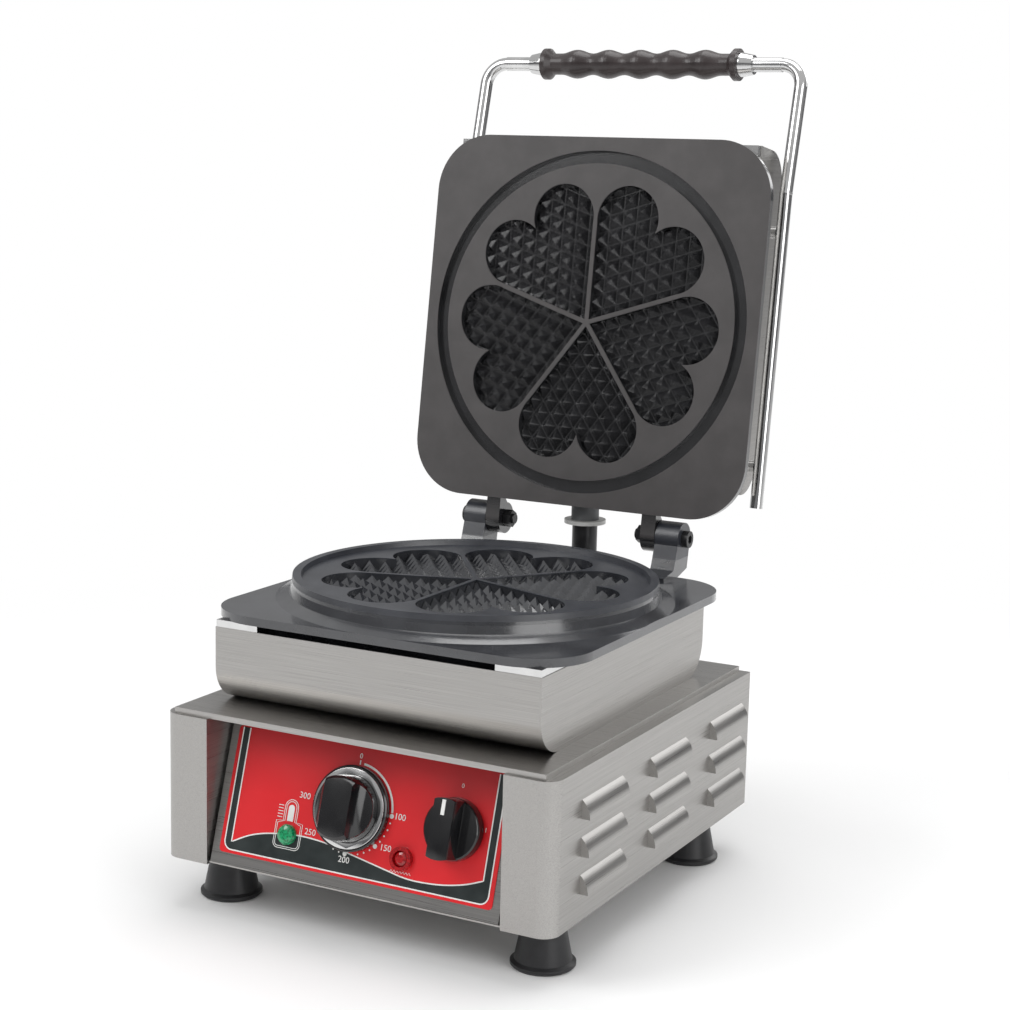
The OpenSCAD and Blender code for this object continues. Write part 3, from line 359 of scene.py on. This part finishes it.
def casting(name, face_point, face_out, face_tones, pocket_tones, face_rough, pocket_rough, coat):
    material, tree, shader = shader_of(name)
    place = tree.nodes.new("ShaderNodeTexCoord")
    height = tree.nodes.new("ShaderNodeVectorMath")
    height.operation = "DOT_PRODUCT"
    height.inputs[1].default_value = face_out
    tree.links.new(place.outputs["Object"], height.inputs[0])
    level = face_point.dot(face_out)
    # pocket mask, 0 at the face and 1 a millimetre below: it sets the pockets' gloss, and on the upper
    # plate their painted shade
    pocket = spread(tree, height.outputs["Value"], level - POCKET_FROM * MM, level - POCKET_FULL * MM)
    group = tree.nodes.new("ShaderNodeGroup")
    group.node_tree = GRAIN
    group.inputs["Grain Scale"].default_value = 1100
    group.inputs["Blotch Scale"].default_value = 45
    group.inputs["Depth"].default_value = 0.35
    mix = tree.nodes.new("ShaderNodeMix")
    mix.data_type = "RGBA"
    tree.links.new(pocket, mix.inputs["Factor"])
    for socket, tones in (("A", face_tones), ("B", pocket_tones)):
        tree.links.new(two_tones(tree, group.outputs["Blotch"], *tones), mix.inputs[socket])
    tree.links.new(mix.outputs["Result"], shader.inputs["Base Color"])
    rough = spread(tree, pocket, 0, 1, face_rough, pocket_rough)
    tree.links.new(rough, shader.inputs["Roughness"])
    tree.links.new(group.outputs["Normal"], shader.inputs["Normal"])
    shader.inputs["Specular IOR Level"].default_value = 0.8
    tree.links.new(spread(tree, pocket, 0, 1, FACE_COAT, coat), shader.inputs["Coat Weight"])
    shader.inputs["Coat Roughness"].default_value = 0.08
    return material


OPEN_ANGLE = 98
LID_FACE, FIELD_DROP = -13.0, 14.0
hinge_point = Vector(joints["lid_hinge"]["pos_m"])
lid_turn = Matrix.Rotation(math.radians(-OPEN_ANGLE), 3, "X")
lid_out = lid_turn @ Vector((0, 0, -1))
lid_point = hinge_point + lid_turn @ Vector((0, 0, LID_FACE * MM))
field_point = hinge_point - Vector((0, 0, FIELD_DROP * MM))
# Upper plate: the pocket tones are far darker than the face tones, as painted shade in the heart
# pockets
iron_pocket_shaded = casting("seasoned_cast_iron", lid_point, lid_out,
                    ((0.034, 0.030, 0.030), (0.050, 0.045, 0.045)),
                    ((0.012, 0.012, 0.013), (0.026, 0.026, 0.028)), 0.50, 0.13, 0.5)
iron_bare = casting("bare_cast_iron", field_point, Vector((0, 0, 1)),
                    ((0.018, 0.020, 0.027), (0.038, 0.041, 0.050)),
                    ((0.020, 0.021, 0.025), (0.040, 0.042, 0.048)), 0.34, 0.12, 0.5)
print("castings ready")

# %% Finish every frame node
FINISH = {
    sheet_across: "top_cover control_panel rear_panel bottom_plate lower_pan lid_casing",
    sheet_along: "side_sheet_left side_sheet_right lower_pan_side_left lower_pan_side_right "
                 "lid_side_left lid_side_right",
    sheet_plain: "stop_bracket lower_clamp_plate upper_clamp_plate pan_bolts foot_screws",
    bright: "lower_clips upper_clips rod_screws handle_rod_left handle_rod_right handle_bar "
            "ferrules thermostat_ring thermostat_shaft switch_shaft",
    iron_bare: "lower_plate",
    iron_pocket_shaded: "upper_plate",
    iron_black: "hinge_bolt_left hinge_bolt_right stop_post",
    pad_pale: "stop_pad",
    block_grey: "lid_stop_block",
    rubber: "foot_front_left foot_front_right foot_rear_left foot_rear_right",
    red_film_cover_shaded: "panel_overlay",
    plastic_black: "thermostat_knob switch_knob cable_gland gland_nut switch_body",
    white_print: "switch_marker",
    ivory: "thermostat_body terminal_block green_lamp_body red_lamp_body",
    lens_green: "green_lamp_lens",
    lens_red: "red_lamp_lens red_lamp_bezel",
    grip_brown: "grip",
    heater: "lower_element upper_element",
    copper: "thermostat_capillary",
    felt: "lower_insulation upper_insulation",
    wire: "wiring_loom",
}
for material, names in FINISH.items():
    for name in names.split():
        slots = frame["nodes"][name].data.materials
        slots.clear()
        slots.append(material)
print("finished nodes:", sum(len(names.split()) for names in FINISH.values()))

# %% [markdown]
# Moulded knobs have edges that are broken by a small radius, and those edges catch the light. A copy
# of each knob node gets its sharp edges rounded, and stands for the node.


# %% Rounded copies
FLAT_ANGLE = 0.5


def rounded(node, body, material, width, sharp=28, segments=3):
    """A copy of a node, with every edge that is sharper than the angle rounded by width in mm."""
    source = frame["nodes"][node]
    bm = bmesh.new()
    bm.from_mesh(source.data)
    bmesh.ops.transform(bm, matrix=source.matrix_world, verts=bm.verts)
    bmesh.ops.remove_doubles(bm, verts=bm.verts, dist=MERGE_DIST)
    bmesh.ops.dissolve_limit(bm, angle_limit=math.radians(FLAT_ANGLE), verts=bm.verts,
                             edges=bm.edges)
    edges = [edge for edge in bm.edges
             if len(edge.link_faces) == 2 and edge.calc_face_angle(0) > math.radians(sharp)]
    bmesh.ops.bevel(bm, geom=edges, offset=width * MM, offset_type="OFFSET", segments=segments,
                    profile=0.5, affect="EDGES", clamp_overlap=True, material=-1)
    piece = finish_piece(bm, node + "_rounded", body, material)
    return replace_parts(piece, node)


KNOB_EDGE, RING_EDGE = 0.7, 0.4
ROUNDED = [("thermostat_knob", "dial", "black_plastic", plastic_black, KNOB_EDGE),
           ("thermostat_ring", "dial", "bright_steel", bright, RING_EDGE),
           ("switch_knob", "switch", "black_plastic", plastic_black, KNOB_EDGE)]
for node, body, slot, material, width in ROUNDED:
    piece = rounded(node, body, material, width)
    print(piece.name, len(piece.data.polygons), "faces")

# %% [markdown]
# ## Printed panel
# The print is a set of very thin raised films on the overlay: a dark stripe that runs down the left
# edge, along the bottom and up the right edge, a dark wave above it, and white outlines. Each film
# is a flat outline that is extruded by a tenth of a millimetre.

# %% Film helpers
FILM_T = 0.12
LINE_BASE = OVERLAY_T + 0.04
MARK_BASE = OVERLAY_T + 0.08


def flat_film(bm, outline, base=OVERLAY_T, thick=FILM_T):
    """Adds a closed flat outline of (x, v) points, extruded to a thin film."""
    ring = [bm.verts.new((x, v, base)) for x, v in outline]
    face = bm.faces.new(ring)
    out = bmesh.ops.extrude_face_region(bm, geom=[face])
    moved = [item for item in out["geom"] if isinstance(item, bmesh.types.BMVert)]
    bmesh.ops.translate(bm, verts=moved, vec=(0, 0, thick))


def smooth_through(points, steps=8):
    """Points on a smooth curve through the given ones (Catmull-Rom)."""
    padded = [points[0]] + points + [points[-1]]
    curve = []
    for a, b, c, d in zip(padded, padded[1:], padded[2:], padded[3:]):
        for step in range(steps):
            t = step / steps
            curve.append(tuple(
                0.5 * (2 * q + (r - p) * t + (2 * p - 5 * q + 4 * r - s) * t * t
                       + (3 * q - p - 3 * r + s) * t ** 3) for p, q, r, s in zip(a, b, c, d)))
    return curve + [points[-1]]


def stroke(bm, path, width, closed=False, base=MARK_BASE, thick=FILM_T):
    """Adds a line of even width along a path, one quad strip with mitred corners."""
    count = len(path)
    sides = []
    for i, point in enumerate(path):
        before = path[i - 1] if (i > 0 or closed) else point
        after = path[(i + 1) % count] if (i < count - 1 or closed) else point
        run = Vector((after[0] - before[0], after[1] - before[1])).normalized()
        side = Vector((-run.y, run.x)) * width / 2
        sides.append(tuple(bm.verts.new((point[0] + sign * side.x, point[1] + sign * side.y, base))
                           for sign in (1, -1)))
    pairs = list(zip(sides, sides[1:])) + ([(sides[-1], sides[0])] if closed else [])
    strip = [bm.faces.new((a[0], a[1], b[1], b[0])) for a, b in pairs]
    out = bmesh.ops.extrude_face_region(bm, geom=strip)
    moved = [item for item in out["geom"] if isinstance(item, bmesh.types.BMVert)]
    bmesh.ops.translate(bm, verts=moved, vec=(0, 0, thick))


def arc_points(cx, cv, radius, start, end, steps=24):
    """Points on an arc; angles are in degrees clockwise from straight up."""
    return [(cx + radius * math.sin(math.radians(start + (end - start) * i / steps)),
             cv + radius * math.cos(math.radians(start + (end - start) * i / steps)))
            for i in range(steps + 1)]


def disc(bm, cx, cv, radius, steps=20):
    flat_film(bm, arc_points(cx, cv, radius, 0, 360 - 360 / steps, steps - 1), MARK_BASE)


print("film helpers ready")

# %% The dark frame stripe and wave
FRAME_OUT, FRAME_IN = 104.0, 98.5
FRAME_LOW, FRAME_TOP = 10.5, 95.0
CORNER_R = 6.0
LINE_W = 0.9


def u_path(half, low, radius):
    """A path down the left, along the bottom and up the right, with round corners."""
    left = arc_points(-half + radius, low + radius, radius, 270, 180, 8)
    right = arc_points(half - radius, low + radius, radius, 180, 90, 8)
    return [(-half, FRAME_TOP)] + left + right + [(half, FRAME_TOP)]


wave = smooth_through([(-FRAME_IN, 15.9), (-83.5, 23.1), (-66.6, 27.2), (-43.2, 29.4), (-21.9, 28.0),
                       (-5.4, 24.8), (11.0, 21.8), (28.2, 18.6), (40.0, 16.6), (52.4, 16.1),
                       (69.5, 17.4), (85.1, 20.6), (FRAME_IN, 25.4)])
dark = bmesh.new()
outer = u_path(FRAME_OUT, FRAME_LOW, CORNER_R)
inner = [(-FRAME_IN, FRAME_TOP)] + wave + [(FRAME_IN, FRAME_TOP)]
flat_film(dark, outer + inner[::-1])
dark_film = finish_piece(dark, "panel_dark_print", "base", dark_print, ON_PANEL)

lines = bmesh.new()
for path in (outer, inner):
    stroke(lines, path, LINE_W, base=LINE_BASE)
white_film = finish_piece(lines, "panel_white_lines", "base", white_print, ON_PANEL)
print("print faces:", len(dark_film.data.polygons), len(white_film.data.polygons))

# %% [markdown]
# The dial's scale runs clockwise: a band from 0 up to 100, a large dot at each marked temperature
# and small dots between them. The heat symbol and the thermometer are plain outlines.

# %% Dial scale and symbols
SCALE_R, BAND_W = 30.6, 1.5
BIG_DOT_R, SMALL_DOT_R = 1.6, 0.62
marks = bmesh.new()
stroke(marks, arc_points(DIAL_X, KNOB_V, SCALE_R, 6, 86, 40), BAND_W)
stroke(marks, [(DIAL_X, KNOB_V + 29.6), (DIAL_X, KNOB_V + 32.6)], LINE_W)
for turn in (90, 135, 181):
    disc(marks, *arc_points(DIAL_X, KNOB_V, SCALE_R, turn, turn, 1)[0], BIG_DOT_R)
for turn in (99, 108, 117, 126, 144, 153, 162, 171, 190, 199):
    disc(marks, *arc_points(DIAL_X, KNOB_V, SCALE_R, turn, turn, 1)[0], SMALL_DOT_R, 10)

GREEN_X, RED_X = -54.5, 36.5
ZIGZAG_V, ZIGZAG_STEP, ZIGZAG_UP, ZIGZAG_W = 18.8, 1.15, 1.5, 0.4
zigzag = [(RED_X - 8 + i * ZIGZAG_STEP, ZIGZAG_V + ZIGZAG_UP * (i % 2)) for i in range(15)]
stroke(marks, zigzag, ZIGZAG_W)

STEM_R, STEM_V, SHOULDER_V, FOOT_V = 3.6, 47.0, 37.5, 22.5
BULB_HALF, BULB_TOP, BULB_R = 9.0, 35.2, 2.0


def thermometer(grow):
    """The outline round the lamp and its stem, drawn larger by grow."""
    stem, bulb, corner = STEM_R + grow, BULB_HALF + grow, BULB_R + grow
    top = arc_points(GREEN_X, STEM_V, stem, 270, 450, 12)
    right = [(GREEN_X + stem, SHOULDER_V), (GREEN_X + bulb, BULB_TOP + grow)]
    middle = BULB_HALF - BULB_R
    low_right = arc_points(GREEN_X + middle, FOOT_V, corner, 90, 180, 4)
    low_left = arc_points(GREEN_X - middle, FOOT_V, corner, 180, 270, 4)
    left = [(GREEN_X - bulb, BULB_TOP + grow), (GREEN_X - stem, SHOULDER_V)]
    return top + right + low_right + low_left + left


OUTLINE_W = 0.45
for grow in (1.7, 0.4):
    stroke(marks, thermometer(grow), OUTLINE_W, closed=True)
TICK_V, TICK_PITCH, TICK_W = 39.5, 2.0, 0.5
for i in range(5):
    tick = TICK_V + TICK_PITCH * i
    stroke(marks, [(GREEN_X - 10.5, tick), (GREEN_X - 6.5, tick)], TICK_W)
FILL_R, FILL_TOP, FILL_LOW = 2.4, 46.4, 37.6
column = arc_points(GREEN_X, FILL_TOP, FILL_R, 270, 450, 10)
flat_film(marks, column + [(GREEN_X + FILL_R, FILL_LOW), (GREEN_X - FILL_R, FILL_LOW)], MARK_BASE)
mark_film = finish_piece(marks, "panel_scale", "base", white_print, ON_PANEL)
print("scale faces:", len(mark_film.data.polygons))


# %% Numbers on the scale
def number(text, x, v, size):
    """A plain number as a thin film, centred on (x, v)."""
    curve = bpy.data.curves.new("number", "FONT")
    curve.body = text
    curve.size = size
    curve.align_x, curve.align_y = "CENTER", "CENTER"
    curve.extrude = FILM_T / 2
    curve.resolution_u = 3
    holder = bpy.data.objects.new("number", curve)
    bpy.context.scene.collection.objects.link(holder)
    bpy.context.view_layer.update()
    shown = holder.evaluated_get(bpy.context.evaluated_depsgraph_get())
    mesh = bpy.data.meshes.new_from_object(shown)
    mesh.transform(Matrix.Translation((x, v, MARK_BASE + FILM_T / 2)))
    bpy.data.objects.remove(holder)
    return mesh


numbers = bmesh.new()
NUMBERS = [("0", DIAL_X, 89.8, 5.0), ("100", 30.0, 54.9, 6.0), ("150", 22.8, 33.0, 6.0),
           ("200", -7.5, 19.8, 6.0), ("250", -37.0, 33.1, 6.0), ("300", -45.7, 56.5, 6.0),
           ("0", 72.8, 83.0, 4.2), ("1", 94.4, 57.6, 4.2)]
for text, x, v, size in NUMBERS:
    mesh = number(text, x, v, size)
    numbers.from_mesh(mesh)
    bpy.data.meshes.remove(mesh)
number_film = finish_piece(numbers, "panel_numbers", "base", white_print, ON_PANEL)
print("number faces:", len(number_film.data.polygons))

# %% [markdown]
# ## Floor, light and camera
# A plain white floor under soft studio light: a big key from the upper left, a fill from the right,
# a broad light above and one behind, all area lights. The world round them is pale.

# %% Floor and light
FLOOR_R = 30
FADE_START, FADE_END = 0.45, 1.1
WORLD_STRENGTH = 0.62
floor_mesh = bmesh.new()
bmesh.ops.create_circle(floor_mesh, cap_ends=True, segments=96, radius=FLOOR_R)
mesh = bpy.data.meshes.new("floor")
floor_mesh.to_mesh(mesh)
floor_mesh.free()
floor = bpy.data.objects.new("floor", mesh)
bpy.context.scene.collection.objects.link(floor)


def make_floor():
    """White floor that fades into a white room with the distance from the object."""
    material, tree, shader = shader_of("floor_white")
    shader.inputs["Base Color"].default_value = (0.9, 0.9, 0.9, 1)
    shader.inputs["Roughness"].default_value = 0.8
    place = tree.nodes.new("ShaderNodeTexCoord")
    away = tree.nodes.new("ShaderNodeVectorMath")
    away.operation = "LENGTH"
    tree.links.new(place.outputs["Object"], away.inputs[0])
    fade = tree.nodes.new("ShaderNodeMapRange")
    fade.interpolation_type = "SMOOTHSTEP"
    fade.inputs["From Min"].default_value = FADE_START
    fade.inputs["From Max"].default_value = FADE_END
    tree.links.new(away.outputs["Value"], fade.inputs["Value"])
    seen = tree.nodes.new("ShaderNodeLightPath")
    shown = tree.nodes.new("ShaderNodeMath")
    shown.operation = "MULTIPLY"
    tree.links.new(fade.outputs["Result"], shown.inputs[0])
    tree.links.new(seen.outputs["Is Camera Ray"], shown.inputs[1])
    glow = tree.nodes.new("ShaderNodeEmission")
    glow.inputs["Color"].default_value = (1, 1, 1, 1)
    mix = tree.nodes.new("ShaderNodeMixShader")
    tree.links.new(shown.outputs["Value"], mix.inputs["Fac"])
    tree.links.new(shader.outputs["BSDF"], mix.inputs[1])
    tree.links.new(glow.outputs["Emission"], mix.inputs[2])
    tree.links.new(mix.outputs["Shader"], tree.nodes["Material Output"].inputs["Surface"])
    return material


mesh.materials.append(make_floor())


def area_light(name, place, aim, size, power):
    light = bpy.data.lights.new(name, "AREA")
    light.shape = "RECTANGLE"
    light.size, light.size_y = size
    light.energy = power
    holder = bpy.data.objects.new(name, light)
    holder.location = place
    holder.rotation_euler = (Vector(aim) - Vector(place)).to_track_quat("-Z", "Y").to_euler()
    bpy.context.scene.collection.objects.link(holder)


AIM = (0, 0, 0.25)
area_light("key", (-1.5, -1.6, 1.9), AIM, (1.4, 1.4), 26)
area_light("fill", (2.0, -0.9, 0.9), AIM, (1.2, 1.6), 15)
area_light("top", (0.1, 0.3, 2.3), AIM, (1.8, 1.4), 22)
area_light("back", (0.6, 2.0, 1.2), AIM, (1.6, 1.0), 10)


def make_world():
    """Pale overhead and darker low down, so polished steel has something to reflect; white behind."""
    world = bpy.data.worlds.new("studio")
    world.use_nodes = True
    tree = world.node_tree
    room = tree.nodes["Background"]
    room.inputs["Strength"].default_value = WORLD_STRENGTH
    place = tree.nodes.new("ShaderNodeTexCoord")
    split = tree.nodes.new("ShaderNodeSeparateXYZ")
    tree.links.new(place.outputs["Generated"], split.inputs[0])
    ramp = tree.nodes.new("ShaderNodeValToRGB")
    ramp.color_ramp.elements[0].position = 0.0
    ramp.color_ramp.elements[0].color = (0.22, 0.22, 0.23, 1)
    ramp.color_ramp.elements[1].position = 0.55
    ramp.color_ramp.elements[1].color = (1, 1, 1, 1)
    tree.links.new(split.outputs["Z"], ramp.inputs["Fac"])
    tree.links.new(ramp.outputs["Color"], room.inputs["Color"])
    white = tree.nodes.new("ShaderNodeBackground")
    white.inputs["Color"].default_value = (1, 1, 1, 1)
    seen = tree.nodes.new("ShaderNodeLightPath")
    mix = tree.nodes.new("ShaderNodeMixShader")
    tree.links.new(seen.outputs["Is Camera Ray"], mix.inputs["Fac"])
    tree.links.new(room.outputs["Background"], mix.inputs[1])
    tree.links.new(white.outputs["Background"], mix.inputs[2])
    tree.links.new(mix.outputs["Shader"], tree.nodes["World Output"].inputs["Surface"])
    return world


bpy.context.scene.world = make_world()
bpy.context.scene.view_settings.view_transform = "Standard"
print("lights ready")

# %% Camera
AZIMUTH, ELEVATION, ROLL = math.radians(28.1), math.radians(10.1), math.radians(1.3)
DISTANCE = 1.5111
side_low, side_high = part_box("side_sheet_right")
TARGET = Vector((0.0015, (side_low.y + side_high.y) / 2 + 0.0436, 0.2711))
SENSOR_W, LENS_MM = 36, 73.3
back = Vector((math.sin(AZIMUTH) * math.cos(ELEVATION), -math.cos(AZIMUTH) * math.cos(ELEVATION),
               math.sin(ELEVATION)))
level = Vector((math.cos(AZIMUTH), math.sin(AZIMUTH), 0))
upright = back.cross(level)
right = level * math.cos(ROLL) + upright * math.sin(ROLL)
up = upright * math.cos(ROLL) - level * math.sin(ROLL)
lens = bpy.data.cameras.new("camera")
lens.sensor_width = SENSOR_W
lens.lens = LENS_MM
camera = bpy.data.objects.new("camera", lens)
camera.matrix_world = Matrix.Translation(TARGET + back * DISTANCE) @ Matrix(
    (right, up, back)).transposed().to_4x4()
bpy.context.scene.collection.objects.link(camera)
bpy.context.scene.camera = camera
print("camera at", [round(c, 3) for c in camera.matrix_world.translation])
